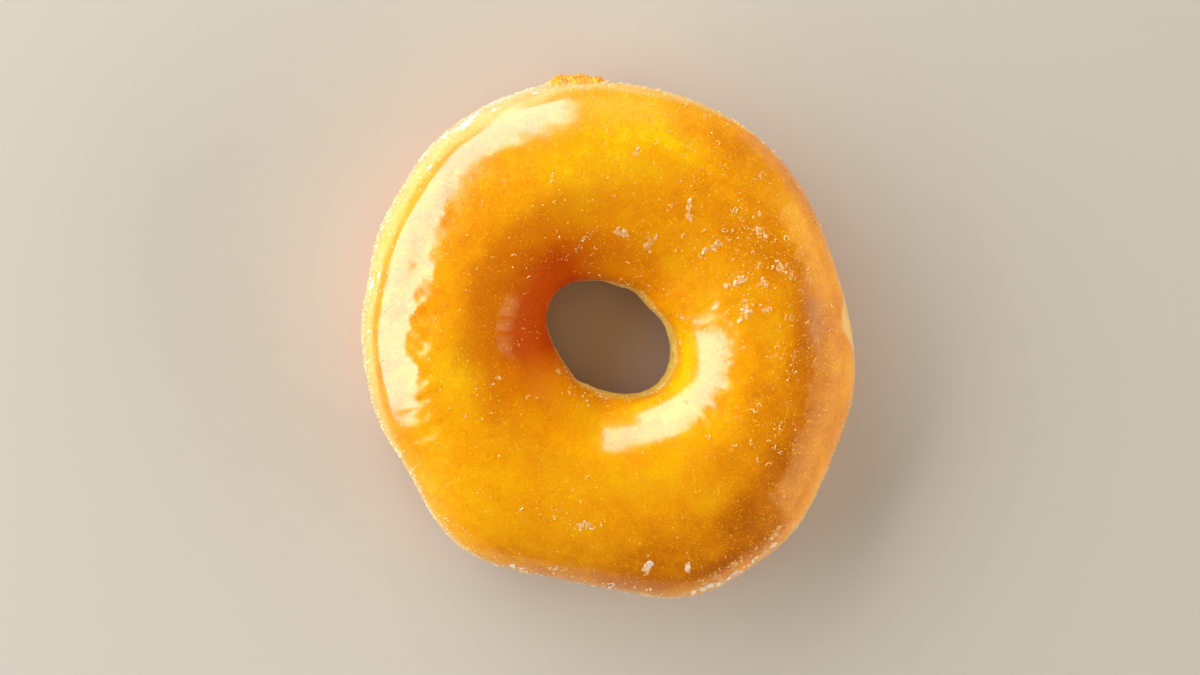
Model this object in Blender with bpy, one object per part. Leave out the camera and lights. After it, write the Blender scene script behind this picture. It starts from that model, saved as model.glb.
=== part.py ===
"""A glazed ring doughnut, raised with yeast and fried on both sides, lying flat.

One piece of dough is one solid. The ring is a torus whose points are moved to a rounded section that
changes as it goes round: the outline and the hole are uneven, the crown rises and dips, the pale belt at
mid-height is a shallow waist between the two fried crusts, and the underside is flat where it rests.

Metres, +Z up. The origin is under the middle of the doughnut, on the surface that it rests on.
"""

import math

import bpy

MM = 0.001

# Driving dimensions.
OUTER_RADIUS = 47.1 * MM
HOLE_LONG_RADIUS = 12.1 * MM
HOLE_SHORT_RADIUS = 9.1 * MM
HOLE_LONG_DIRECTION = 142.0
HEIGHT = 27.6 * MM
BELT_HEIGHT = 13.2 * MM

# The section. A roundness of 2 is an ellipse, and more is squarer.
CROWN_ROUNDNESS = 2.05
BASE_ROUNDNESS = 2.05
FLAT_SHARE = 0.4  # how much of the ring's width rests flat
FLAT_TURN = math.radians(72)  # how far round from the side the flat begins

# The belt, where the dough floated out of the oil and stayed pale.
BELT_DEPTH = 0.7 * MM
BELT_HALF_WIDTH = 2.9 * MM

# A scrap of dough, left where the ring tore away from its neighbour on the proving tray.
SCRAP_DIRECTION = 98.5
SCRAP_SPREAD = 5.6
SCRAP_REACH = 1.9 * MM
SCRAP_HALF_HEIGHT = 2.5 * MM
SCRAP_HEIGHT = 11.6 * MM

# Unevenness, each as (direction in degrees, spread in degrees, height). The swells of the outline and of
# the hole are full on the flanks and die away towards the crown and the flat.
OUTLINE_SWELLS = (
    (18, 24, -2.9 * MM),
    (124, 34, 2.7 * MM),
    (144, 7, -0.5 * MM),
    (166, 7, -0.7 * MM),
    (190, 16, -0.6 * MM),
    (212, 10, -1.6 * MM),
    (234, 10, 1.3 * MM),
    (259, 10, -0.9 * MM),
    (287, 12, 3.5 * MM),
    (309, 17, 3.7 * MM),
    (347, 10, 0.6 * MM),
)
HOLE_SWELLS = (
    (38, 15, -0.7 * MM),
    (84, 11, -0.4 * MM),
    (136, 18, 1.2 * MM),
    (162, 18, 1.0 * MM),
    (228, 11, 0.4 * MM),
    (275, 34, -0.4 * MM),
)
CROWN_SWELLS = (
    (60, 35, -0.8 * MM),
    (150, 30, 0.5 * MM),
    (235, 30, -0.6 * MM),
    (310, 28, 0.5 * MM),
)
BELT_SWELLS = (
    (20, 25, 1.0 * MM),
    (120, 30, 0.7 * MM),
    (225, 22, -0.9 * MM),
    (300, 20, 0.6 * MM),
)

STEPS_ROUND_RING = 96
STEPS_ROUND_SECTION = 40

CRUST_COLOUR = (0.83, 0.36, 0.02, 1.0)
CRUST_ROUGHNESS = 0.25


def swell(direction, swells):
    """The sum of the swells and dents at this direction, in degrees: each is a smooth bump on the circle."""
    total = 0.0
    for centre, spread, height in swells:
        away = (direction - centre + 180) % 360 - 180
        total += height * math.exp(-((away / spread) ** 2))
    return total


def plain_hole_radius(direction):
    """The radius of the oval that the hole would be without its swells."""
    turn = math.radians(direction - HOLE_LONG_DIRECTION)
    return 1 / math.hypot(math.cos(turn) / HOLE_LONG_RADIUS, math.sin(turn) / HOLE_SHORT_RADIUS)


def rounded(value, roundness):
    """A sine or cosine bent to draw a squarer curve than a circle."""
    return math.copysign(abs(value) ** (2 / roundness), value)


def crown_point(turn):
    """(across, up) on the upper half, as shares of the section's half-width and of its rise above the belt."""
    return rounded(math.cos(turn), CROWN_ROUNDNESS), rounded(math.sin(turn), CROWN_ROUNDNESS)


def base_point(turn):
    """The same on the lower half, where up is negative: a curve down from the belt, and the flat."""
    down = math.asin(min(1.0, -math.sin(turn)))
    side = math.copysign(1, math.cos(turn))
    if down >= FLAT_TURN:
        return side * FLAT_SHARE * (math.pi / 2 - down) / (math.pi / 2 - FLAT_TURN), -1.0
    along = down / FLAT_TURN * math.pi / 2
    across = FLAT_SHARE + (1 - FLAT_SHARE) * rounded(math.cos(along), BASE_ROUNDNESS)
    return side * across, -rounded(math.sin(along), BASE_ROUNDNESS)


def section_point(direction, turn):
    """(distance from the axis, height) of a point of the ring. A turn of 0 faces out, a quarter is the crown."""
    upper = math.sin(turn) >= 0
    across, up = crown_point(turn) if upper else base_point(turn)
    belt = BELT_HEIGHT + swell(direction, BELT_SWELLS)
    crown = HEIGHT + swell(direction, CROWN_SWELLS)
    height = belt + up * (crown - belt if upper else belt)

    middle = (OUTER_RADIUS + plain_hole_radius(direction)) / 2
    half_width = (OUTER_RADIUS - plain_hole_radius(direction)) / 2
    waist = BELT_DEPTH * math.exp(-(((height - belt) / BELT_HALF_WIDTH) ** 2))
    side_swell = swell(direction, OUTLINE_SWELLS if across > 0 else HOLE_SWELLS)
    distance = middle + across * (half_width - waist) + across**2 * side_swell
    if across > 0:
        scrap = swell(direction, ((SCRAP_DIRECTION, SCRAP_SPREAD, SCRAP_REACH),))
        distance += scrap * math.exp(-(((height - SCRAP_HEIGHT) / SCRAP_HALF_HEIGHT) ** 2))
    return distance, height


def shape_ring(mesh, centre_radius):
    """Moves each point of a plain torus to its place in the doughnut's own section."""
    for vertex in mesh.vertices:
        x, y, z = vertex.co
        direction = math.degrees(math.atan2(y, x))
        turn = math.atan2(z, math.hypot(x, y) - centre_radius)
        distance, height = section_point(direction, turn)
        vertex.co = (
            distance * math.cos(math.radians(direction)),
            distance * math.sin(math.radians(direction)),
            height,
        )


def centre_footprint(mesh):
    """Slides the mesh so that its bounding box stands centred over the origin."""
    across = [vertex.co.x for vertex in mesh.vertices]
    along = [vertex.co.y for vertex in mesh.vertices]
    middle_x = (min(across) + max(across)) / 2
    middle_y = (min(along) + max(along)) / 2
    for vertex in mesh.vertices:
        vertex.co.x -= middle_x
        vertex.co.y -= middle_y


def crust_material():
    material = bpy.data.materials.new("glazed_crust")
    material.use_nodes = True
    surface = material.node_tree.nodes["Principled BSDF"]
    surface.inputs["Base Color"].default_value = CRUST_COLOUR
    surface.inputs["Roughness"].default_value = CRUST_ROUGHNESS
    surface.inputs["Metallic"].default_value = 0.0
    return material


def build_ring(collection):
    tube_radius = (OUTER_RADIUS - HOLE_LONG_RADIUS) / 2
    centre_radius = OUTER_RADIUS - tube_radius
    bpy.ops.mesh.primitive_torus_add(
        major_segments=STEPS_ROUND_RING,
        minor_segments=STEPS_ROUND_SECTION,
        major_radius=centre_radius,
        minor_radius=tube_radius,
    )
    ring = bpy.context.object
    ring.name = "doughnut_ring"
    ring.data.name = "doughnut_ring"
    shape_ring(ring.data, centre_radius)
    centre_footprint(ring.data)
    ring.data.shade_smooth()
    ring.data.materials.append(crust_material())
    for home in ring.users_collection:
        home.objects.unlink(ring)
    collection.objects.link(ring)
    return ring


def clear_scene():
    for obj in list(bpy.data.objects):
        bpy.data.objects.remove(obj, do_unlink=True)


clear_scene()
doughnut = bpy.data.collections.new("glazed_ring_doughnut")
bpy.context.scene.collection.children.link(doughnut)
build_ring(doughnut)
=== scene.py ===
import math

import bmesh
import bpy
import numpy as np
from mathutils import Matrix, Vector, noise
from mathutils.bvhtree import BVHTree


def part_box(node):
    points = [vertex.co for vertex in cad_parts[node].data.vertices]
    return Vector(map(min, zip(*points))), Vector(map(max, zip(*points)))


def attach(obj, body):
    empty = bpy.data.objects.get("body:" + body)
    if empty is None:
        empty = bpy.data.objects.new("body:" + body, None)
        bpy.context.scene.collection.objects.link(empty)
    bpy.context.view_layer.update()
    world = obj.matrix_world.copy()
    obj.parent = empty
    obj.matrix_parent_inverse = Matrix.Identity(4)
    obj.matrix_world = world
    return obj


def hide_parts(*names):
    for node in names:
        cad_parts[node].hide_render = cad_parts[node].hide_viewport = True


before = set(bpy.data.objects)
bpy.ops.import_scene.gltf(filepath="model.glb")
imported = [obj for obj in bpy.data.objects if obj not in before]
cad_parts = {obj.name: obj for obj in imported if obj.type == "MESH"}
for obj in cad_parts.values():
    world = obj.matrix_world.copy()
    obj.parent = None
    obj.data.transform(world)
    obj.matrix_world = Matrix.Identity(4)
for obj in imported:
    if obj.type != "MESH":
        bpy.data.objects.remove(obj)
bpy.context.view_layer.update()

# ----------------------------------------------------------------------
# The fried dough. One ring of yeast-raised dough, floated in hot oil on one face and then on the other.
# Each face browned where the oil reached it, and the belt between them, which rode above the oil both
# times, stayed pale.

MM = 0.001
# A place on the ring is a direction round it and a turn round its section, both in degrees.
# A turn of 0 faces out, 90 is the crown, 180 faces the hole and 270 is the underside.
ring_low, ring_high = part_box("doughnut_ring")
RING_HALF_WIDTH = (ring_high.x - ring_low.x + ring_high.y - ring_low.y) / 4
CORE_RADIUS = 0.61 * RING_HALF_WIDTH
CORE_HEIGHT = 0.465 * ring_high.z

SURVEY_DIRECTIONS = 360
SURVEY_TURNS = 180
SKIN_DIRECTIONS = 600
DOUGH_TURNS = 150

GLAZE_DEPTH = 0.35 * MM  # the glaze's usual thickness: the dough lies this far inside the CAD surface
# The lumps and the pimples of the crust. All such layers of unevenness are given as (size, how much, seed).
CRUST_LUMPS = ((7 * MM, 0.12 * MM, 2.2), (1.6 * MM, 0.04 * MM, 6.1))

# The pale belt's edges on the flank, and how far its top edge rises here and there: direction, spread, turn.
BELT_FLOOR = -19.0
BELT_TOP = 10.0
BELT_RISES = (
    (150, 42, 13), (116, 13, 6.5), (82, 24, 11), (195, 18, 8),
    (4, 7, 27), (345, 12, 4), (322, 13, 6), (234, 14, 2),
)
BELT_IN_HOLE = (184.0, 15.0)  # its middle and half-width in the hole
BELT_WANDER = ((14 * MM, 3.0, 3.1), (3 * MM, 1.8, 8.7))
BELT_FADE = 6.0
# Painted light: between these turns the belt in the hole is a brighter egg yellow.
YOLK_PAINTED_LIGHT_TURNS = (120, 150, 215, 240)  # where it turns as yellow as egg, and where it is cream again
# How brown the crust is, from 0 to 1, and how unevenly.
USUAL_BROWNING = 0.29
BROWNING_LUMPS = ((14 * MM, 0.14, 5.3), (6 * MM, 0.10, 1.9), (2.6 * MM, 0.06, 7.7))
UNDERSIDE_BROWNING = 0.34
# Browner and paler patches of the crust, a few of them painted light as noted below: direction, turn, spread
# of each in degrees, how much browner.
BROWN_AND_PAINTED_LIGHT_PATCHES = (
    # a broad browner band over the shoulder round direction -30
    (-30, 50, 60, 24, 0.20),
    # the near flank and the crown above it; the paler patch low on the flank at direction 228 is painted
    # light, where the key light wraps round
    (303, 46, 9, 13, 0.22), (276, 50, 14, 9, 0.10), (268, 28, 26, 14, 0.22), (325, 58, 22, 14, 0.24),
    (296, 29, 14, 7, 0.42), (330, 92, 20, 14, 0.14), (228, 20, 18, 12, -0.14), (212, 46, 18, 18, -0.14),
    # the right flank and crown
    (355, 78, 9, 9, 0.16), (16, 66, 28, 14, 0.24), (58, 42, 12, 9, 0.14), (65, 92, 22, 14, 0.06),
    (45, 22, 16, 12, 0.25), (30, 88, 14, 14, 0.26),
    # the far flank and crown, with three pale streaks along the crown that are a painted sheen
    (102, 74, 28, 20, -0.22), (86, 44, 28, 17, -0.26), (84, 20, 26, 11, -0.18), (132, 66, 26, 14, 0.10),
    (79, 54, 7, 3, -0.12), (64, 63, 9, 3, -0.15), (51, 72, 7, 3, -0.16),
    # the left flank and crown
    (199, 76, 20, 16, -0.12), (152, 38, 55, 14, 0.20), (190, 94, 16, 14, -0.24),
    # the wall of the hole; the paler patches low on it beside the inner highlight are partly painted light, a
    # glow round that highlight
    (270, 108, 30, 20, -0.12), (8, 138, 28, 22, -0.26), (318, 118, 24, 20, -0.14), (254, 140, 20, 16, -0.20),
    (284, 154, 18, 14, -0.12), (308, 152, 22, 14, -0.22), (348, 160, 26, 9, -0.30), (342, 129, 34, 12, 0.17),
)

# The crease along the top of the belt, and the roll of crust that bulges out just above it, in degrees of
# turn above the belt's edge.
CREASE_ABOVE = -0.5
CREASE_WIDTH = 2.2
CREASE_WANDER = 1.5
CREASE_DEPTH = 0.14 * MM
ROLL_TURNS = (-0.5, 4.0, 4.0, 24.0)  # it swells between the first two, and fades between the last two
ROLL_HEIGHT = 0.40 * MM
# Where round the ring each is deepest, and its spread.
CREASE_ROUND = (155, 52)
ROLL_ROUND = (178, 34)
# The hollows in the slope down to the hole: direction, spread, the turns it steepens between, the turns it
# comes back out between, depth.
HOLLOWS = (
    (172, 18, 108, 126, 138, 174, 0.70 * MM), (260, 18, 118, 144, 156, 174, 1.10 * MM),
    (306, 22, 123, 139, 142, 160, 0.75 * MM), (335, 12, 118, 140, 150, 174, 0.40 * MM),
    (2, 26, 112, 136, 148, 174, 0.40 * MM),
)


def into_scene(name, data):
    """An object made of this mesh, light or camera, put in the scene."""
    made = bpy.data.objects.new(name, data)
    bpy.context.scene.collection.objects.link(made)
    return made


def survey(node):
    """How far the CAD ring's surface lies from its core circle, on a grid of directions and turns."""
    solid = bmesh.new()
    solid.from_mesh(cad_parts[node].data)
    bmesh.ops.remove_doubles(solid, verts=solid.verts, dist=0.001 * MM)
    limits = {"angle_face_threshold": math.radians(30), "angle_shape_threshold": math.radians(60)}
    bmesh.ops.join_triangles(solid, faces=solid.faces, **limits)
    cage = into_scene("survey_cage", bpy.data.meshes.new("survey_cage"))
    solid.to_mesh(cage.data)
    solid.free()
    rounding = cage.modifiers.new("rounding", "SUBSURF")
    rounding.levels = rounding.render_levels = 2
    bpy.context.view_layer.update()
    tree = BVHTree.FromObject(cage, bpy.context.evaluated_depsgraph_get())
    bpy.data.objects.remove(cage)

    found = np.zeros((SURVEY_TURNS, SURVEY_DIRECTIONS))
    for column in range(SURVEY_DIRECTIONS):
        direction = 2 * math.pi * column / SURVEY_DIRECTIONS
        outward = Vector((math.cos(direction), math.sin(direction), 0))
        core = outward * CORE_RADIUS + Vector((0, 0, CORE_HEIGHT))
        for row in range(SURVEY_TURNS):
            turn = 2 * math.pi * row / SURVEY_TURNS
            ray = outward * math.cos(turn) + Vector((0, 0, math.sin(turn)))
            found[row, column] = tree.ray_cast(core, ray)[3]
    for axis in (0, 1, 0, 1):
        found = (np.roll(found, 1, axis) + 2 * found + np.roll(found, -1, axis)) / 4
    return found


ring_survey = survey("doughnut_ring")


def cubic_weights(along):
    """How much each of four samples counts, at a point part of the way from the second to the third."""
    a, b, c = along, along**2, along**3
    return (-a / 2 + b - c / 2, 1 - 5 * b / 2 + 3 * c / 2, a / 2 + 2 * b - 3 * c / 2, -b / 2 + c / 2)


def reach(direction, turn):
    """How far the CAD surface lies from the core, at any direction and turn."""
    across = np.asarray(direction) / 360 * SURVEY_DIRECTIONS
    up = np.asarray(turn) / 360 * SURVEY_TURNS
    column, row = np.floor(across).astype(int), np.floor(up).astype(int)
    total = 0.0
    for i, column_weight in enumerate(cubic_weights(across - column), start=-1):
        for j, row_weight in enumerate(cubic_weights(up - row), start=-1):
            sample = ring_survey[(row + j) % SURVEY_TURNS, (column + i) % SURVEY_DIRECTIONS]
            total = total + column_weight * row_weight * sample
    return total


def on_ring(direction, turn, lift=0.0):
    """The place at this direction and turn, lifted off the CAD surface. All three may be arrays."""
    away = reach(direction, turn) + lift
    angle, lean = np.radians(direction), np.radians(turn)
    radius = CORE_RADIUS + away * np.cos(lean)
    height = CORE_HEIGHT + away * np.sin(lean)
    return np.stack(np.broadcast_arrays(radius * np.cos(angle), radius * np.sin(angle), height), axis=-1)


def lumps(places, size, seed):
    """Smooth unevenness from -1 to 1 at each place, with lumps of about this size."""
    shifted = (places / size + seed).reshape(-1, 3)
    return np.array([noise.noise(place) for place in shifted.tolist()]).reshape(places.shape[:-1])


def layered(places, layers):
    """Unevenness made of several layers of lumps."""
    return sum(much * lumps(places, size, seed) for size, much, seed in layers)


def step(value, start, end):
    """0 before start and 1 after end, with a smooth step between them."""
    share = np.clip((value - start) / (end - start), 0, 1)
    return share * share * (3 - 2 * share)


def window(value, start, full, back, out):
    """Rises from 0 to 1 between the first two values, and falls to 0 again between the last two."""
    return step(value, start, full) * (1 - step(value, back, out))


def away_from(angle, middle):
    """How many degrees lie between two angles, either way round."""
    return np.abs((angle - middle + 180) % 360 - 180)


def hump(angle, middle, spread):
    """1 at the middle angle, dying away on both sides."""
    return np.exp(-((away_from(angle, middle) / spread) ** 2))


def rises(direction, table):
    """The sum of soft rises round the ring, each given as its direction, its spread and its height."""
    return sum(rise * hump(direction, middle, wide) for middle, wide, rise in table)


def blot(direction, turn, middle, height, wide, tall, much=1.0):
    """A soft oval patch round this direction and turn, dying away over so many degrees of each."""
    return much * hump(direction, middle, wide) * hump(turn, height, tall)


def blots(direction, turn, patches):
    """The sum of several such patches."""
    return sum(blot(direction, turn, *patch_at) for patch_at in patches)


def belt_top(direction):
    """The turn of the belt's top edge on the flank."""
    return BELT_TOP + rises(direction, BELT_RISES)


def form_at(direction, turn, places):
    """How far the crust stands off the plain ring, with its crease, the roll above that, and the hollows."""
    above = turn - belt_top(direction) - CREASE_WANDER * lumps(places, 5 * MM, 4.1)
    crease = CREASE_DEPTH * np.exp(-(((above - CREASE_ABOVE) / CREASE_WIDTH) ** 2))
    roll = ROLL_HEIGHT * window(above, *ROLL_TURNS)
    hollow = sum(
        depth * window(turn, *turns) * hump(direction, middle, wide)
        for middle, wide, *turns, depth in HOLLOWS
    )
    return roll * hump(direction, *ROLL_ROUND) - crease * hump(direction, *CREASE_ROUND) - hollow


def belt_at(direction, turn, places):
    """1 on the pale belt and 0 on the browned crust."""
    top = belt_top(direction)
    outside = away_from(turn, (top + BELT_FLOOR) / 2) - (top - BELT_FLOOR) / 2
    in_hole = away_from(turn, BELT_IN_HOLE[0]) - BELT_IN_HOLE[1]
    past_edge = np.minimum(outside, in_hole) + layered(places, BELT_WANDER)
    return 1 - step(past_edge, -BELT_FADE / 2, BELT_FADE / 2)


def yolk_and_painted_light_at(direction, turn, places):
    """1 where the belt on the wall of the hole is a brighter egg yellow: painted light, for light that the
    lamps don't bring into the hole.
    """
    return window(turn, *YOLK_PAINTED_LIGHT_TURNS) * (0.85 + 0.3 * lumps(places, 2 * MM, 1.3))


def browning_and_painted_light_at(direction, turn, places):
    """0 where the crust is palest gold and 1 where it is brownest, with a few paler patches of painted light
    among the browning.
    """
    browning_and_painted_light = USUAL_BROWNING + UNDERSIDE_BROWNING * hump(turn, 270, 60) + layered(places, BROWNING_LUMPS)
    return np.clip(browning_and_painted_light + blots(direction, turn, BROWN_AND_PAINTED_LIGHT_PATCHES), 0, 1)


# The darker red-brown side of the hole, which faces away from the key light: partly browner crust and partly
# painted shade. Where round the ring it lies, and the turns at which it deepens.
EMBER_AND_SHADE_ROUND = (155, 56)
EMBER_AND_SHADE_BEGINS = (82, 107, 0.54)
EMBER_AND_SHADE_DEEPENS = (112, 140, 0.46)
EMBER_AND_SHADE_ENDS = (170, 200, -1.0)
EMBER_AND_SHADE_WANDER = ((8 * MM, 9, 2.7), (2.5 * MM, 5, 6.2))
EMBER_AND_SHADE_RISES = ((155, 30, 10), (116, 18, 7))  # where it starts higher: direction, spread, degrees of turn


def ember_and_shade_at(direction, turn, places):
    """1 where the crust is a darker red-brown, partly browner and partly painted shade, on the side of the
    hole that faces away from the key light.
    """
    higher = turn + layered(places, EMBER_AND_SHADE_WANDER) + rises(direction, EMBER_AND_SHADE_RISES)
    deepening = sum(
        much * step(along, start, end)
        for along, (start, end, much) in ((higher, EMBER_AND_SHADE_BEGINS), (higher, EMBER_AND_SHADE_DEEPENS), (turn, EMBER_AND_SHADE_ENDS))
    )
    return np.clip(deepening, 0, 1) * np.clip(0.05 + 1.25 * hump(direction, *EMBER_AND_SHADE_ROUND), 0, 1)


CRUST_PAINTS = (("belt", belt_at), ("yolk_and_painted_light", yolk_and_painted_light_at), ("browning_and_painted_light", browning_and_painted_light_at), ("ember_and_shade", ember_and_shade_at))


def quad_mesh(name, places, quads):
    """A smooth mesh through these points, with these quads between them."""
    mesh = bpy.data.meshes.new(name)
    mesh.from_pydata(places.reshape(-1, 3).tolist(), [], quads.reshape(-1, 4).tolist())
    mesh.shade_smooth()
    return mesh


def ring_mesh(name, places, closed=False):
    """A mesh of quads through places[row][column]. The columns go all round, and so do closed rows."""
    rows, columns = places.shape[:2]
    corner = np.arange(rows * columns).reshape(rows, columns)
    above = np.roll(corner, -1, axis=0)
    quads = np.stack([corner, np.roll(corner, -1, axis=1), np.roll(above, -1, axis=1), above], axis=-1)
    return quad_mesh(name, places, quads if closed else quads[:-1])


def paint(mesh, name, values):
    """Stores a number for each point of a mesh, for a material or a scatter to read. The rest get 0."""
    values = np.ravel(values)
    values = np.pad(values, (0, len(mesh.vertices) - len(values))).astype(np.float32)
    mesh.attributes.new(name, "FLOAT", "POINT").data.foreach_set("value", values)


def paint_crust(mesh, direction, turn, plain):
    """Paints where the fried dough has each of its colours."""
    for name, amount_at in CRUST_PAINTS:
        paint(mesh, name, amount_at(direction, turn, plain))


def add_piece(name, mesh, material):
    """Puts a finished mesh in the scene as a piece that rides with the doughnut."""
    mesh.name = name
    piece = into_scene(name, mesh)
    mesh.materials.clear()
    mesh.materials.append(material)
    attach(piece, "root")
    return piece


def set_inputs(node, inputs):
    """Sets or links a node's inputs, given as (input, value or another node's output)."""
    for key, value in inputs:
        if isinstance(value, bpy.types.NodeSocket):
            node.id_data.links.new(value, node.inputs[key])
        else:
            node.inputs[key].default_value = value


def add_node(tree, kind, inputs=(), **settings):
    """Adds a node with these settings and inputs."""
    node = tree.nodes.new(kind)
    for name, value in settings.items():
        setattr(node, name, value)
    set_inputs(node, inputs)
    return node


def grain(tree, where, size, detail=2.0):
    """A noise pattern whose spots are about this size, from 0 to 1."""
    sizes = (("Vector", where), ("Scale", 1 / size), ("Detail", detail))
    return add_node(tree, "ShaderNodeTexNoise", sizes).outputs["Fac"]


def calculate(tree, operation, first, second=0.0, third=0.0, clamped=False):
    values = ((0, first), (1, second), (2, third))
    return add_node(tree, "ShaderNodeMath", values, operation=operation, use_clamp=clamped).outputs[0]


def blend_colours(tree, share, first, second):
    """A blend that is the first colour where the share is 0 and the second where it is 1."""
    values = ((0, share), (6, first), (7, second))
    return add_node(tree, "ShaderNodeMix", values, data_type="RGBA").outputs[2]


def painted(tree, name):
    return add_node(tree, "ShaderNodeAttribute", attribute_name=name).outputs["Fac"]


# The crust's colours, from the palest to the brownest, each with its place between 0 and 1.
FRIED_COLOURS = (
    (0.00, (1.0, 0.57, 0.003, 1)),
    (0.06, (0.98, 0.465, 0.001, 1)),
    (0.30, (0.94, 0.345, 0.001, 1)),
    (0.62, (0.66, 0.183, 0.001, 1)),
    (1.00, (0.40, 0.088, 0.001, 1)),
)
# Its mottling, its freckles and its pores: size, how much browner.
FRIED_MOTTLE = ((4.5 * MM, 0.30), (1.3 * MM, 0.20), (0.36 * MM, 0.28))
# The darker red-brown of the hole's side that faces away from the key light, partly browner crust and partly
# painted shade.
EMBER_AND_SHADE = (0.52, 0.060, 0.001, 1)
BELT_CREAM = (0.90, 0.60, 0.22, 1)
BELT_BUTTER = (0.92, 0.47, 0.06, 1)
# The brighter egg yellow of the belt in the hole, painted light.
BELT_PAINTED_LIGHT_YOLK = (1.0, 0.71, 0.10, 1)


def make_fried_colours():
    """A shader group with the colour of the fried dough, from gold to brown, and cream on the belt."""
    group = bpy.data.node_groups.new("fried_colours", "ShaderNodeTree")
    group.interface.new_socket("Colour", in_out="OUTPUT", socket_type="NodeSocketColor")
    where = add_node(group, "ShaderNodeTexCoord").outputs["Object"]
    # The browning, with a few paler patches of painted light and sheen in it.
    fried = painted(group, "browning_and_painted_light")
    for size, much in FRIED_MOTTLE:
        mottle = calculate(group, "MULTIPLY_ADD", grain(group, where, size), much, -much / 2)
        fried = calculate(group, "ADD", fried, mottle)
    ramp = add_node(group, "ShaderNodeValToRGB", (("Fac", fried),))
    stops = ramp.color_ramp.elements
    for index, (place, colour) in enumerate(FRIED_COLOURS):
        stop = stops[index] if index < 2 else stops.new(place)
        stop.position = place
        stop.color = colour
    stretched = ((0, where), (1, (1.0, 1.0, 6.0)))
    stretched = add_node(group, "ShaderNodeVectorMath", stretched, operation="MULTIPLY")
    buttered = grain(group, stretched.outputs["Vector"], 5 * MM, detail=5.0)
    buttered = calculate(group, "MULTIPLY_ADD", buttered, 2.2, -0.6)
    belt = blend_colours(group, buttered, BELT_CREAM, BELT_BUTTER)
    # Painted light: the belt in the hole turns a brighter egg yellow.
    belt = blend_colours(group, painted(group, "yolk_and_painted_light"), belt, BELT_PAINTED_LIGHT_YOLK)
    # Partly painted shade: the side of the hole facing away from the key light turns a darker red-brown.
    crust = blend_colours(group, painted(group, "ember_and_shade"), ramp.outputs["Color"], EMBER_AND_SHADE)
    whole = blend_colours(group, painted(group, "belt"), crust, belt)
    add_node(group, "NodeGroupOutput", (("Colour", whole),))
    return group


fried_colours = make_fried_colours()


def new_material(name):
    """A material, its nodes, its Principled shader, and the place on the piece."""
    material = bpy.data.materials.new(name)
    material.use_nodes = True
    tree = material.node_tree
    where = add_node(tree, "ShaderNodeTexCoord").outputs["Object"]
    return material, tree, tree.nodes["Principled BSDF"], where


def relief(tree, heights, depth):
    """A bump, of this depth, from a pattern that runs from 0 to 1."""
    return add_node(tree, "ShaderNodeBump", (("Height", heights), ("Distance", depth))).outputs["Normal"]


def make_crust():
    """Fried crust with no glaze on it: satin with oil, finely pimpled."""
    material, tree, surface, where = new_material("fried_crust")
    colour = add_node(tree, "ShaderNodeGroup", node_tree=fried_colours).outputs["Colour"]
    pimples = relief(tree, grain(tree, where, 0.9 * MM, 6.0), 0.25 * MM)
    dryness = calculate(tree, "MULTIPLY_ADD", grain(tree, where, 3 * MM), 0.3, 0.32)
    shine = (("Roughness", dryness), ("Specular IOR Level", 0.25))
    set_inputs(surface, (("Base Color", colour), ("Normal", pimples), *shine))
    return material


def spread(count, first=0.0, last=360.0):
    """So many angles, evenly spread from the first up to, but not at, the last."""
    return first + (last - first) * np.arange(count) / count


def grid(directions, turns):
    """The direction and the turn at each point of a grid with one row for each turn."""
    return np.broadcast_arrays(directions[None, :], turns[:, None])


def make_dough():
    direction, turn = grid(spread(SKIN_DIRECTIONS), spread(DOUGH_TURNS))
    plain = on_ring(direction, turn)
    unevenness = layered(plain, CRUST_LUMPS) + form_at(direction, turn, plain)
    resting = 1 - step(plain[..., 2], 0.2 * MM, 3 * MM)
    places = on_ring(direction, turn, (unevenness - GLAZE_DEPTH) * (1 - resting))
    places[..., 2] = np.maximum(places[..., 2], 0)
    mesh = ring_mesh("fried_dough", places, closed=True)
    paint_crust(mesh, direction, turn, plain)
    return mesh


fried_dough = add_piece("fried_dough", make_dough(), make_crust())
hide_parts("doughnut_ring")

# ----------------------------------------------------------------------
# The sugar glaze. Icing sugar and water, poured warm over the hot ring, coats the crown, the flanks and
# the wall of the hole, and sets clear and glossy. It ran down and stopped in an uneven edge above the
# underside, with a thick, milky bead along it.

GLAZE_TURNS = 136
LINING_TURNS = 24  # rows of the glaze's inner face, which lies out of sight in the dough, unpainted
LINING_DEPTH = 0.75 * MM
EDGE_OUTSIDE = -44.0
EDGE_IN_HOLE = 224.0
EDGE_WANDER = 9.0
EDGE_WIDTH = 1.3 * MM
EDGE_BEAD = 0.45 * MM
EDGE_SINK = 0.2 * MM  # how far the very edge dips into the dough
BEAD_TAIL = 3.0 * MM
# Where the glaze ran further down before it set: direction, spread, and how many degrees of turn further.
GLAZE_RUNS = (
    (14, 3.5, 16), (41, 2.6, 11), (73, 4.2, 14), (118, 3.0, 18), (149, 2.4, 10), (171, 3.6, 15),
    (203, 3.0, 12), (226, 4.4, 17), (251, 2.6, 10), (272, 3.2, 15), (301, 3.8, 12), (329, 2.8, 17),
)
# The slow swell of the glaze, and its smaller waves.
GLAZE_SWELL = ((9.0 * MM, 0.07 * MM, 9.2),)
GLAZE_WAVES = ((4.2 * MM, 0.030 * MM, 9.2), (2.2 * MM, 0.022 * MM, 9.2), (1.2 * MM, 0.010 * MM, 9.2))
# Where the glaze set restlessly: direction, turn, spread of each, and how many times higher the waves are.
RESTLESS_PATCHES = (
    (176, 56, 26, 13, 20), (130, 46, 40, 12, 3), (168, 128, 40, 18, 2.4), (20, 128, 16, 18, 7),
    (330, 119, 46, 10, 7), (0, 58, 45, 20, 7), (352, 104, 26, 8, 7),
)
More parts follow.
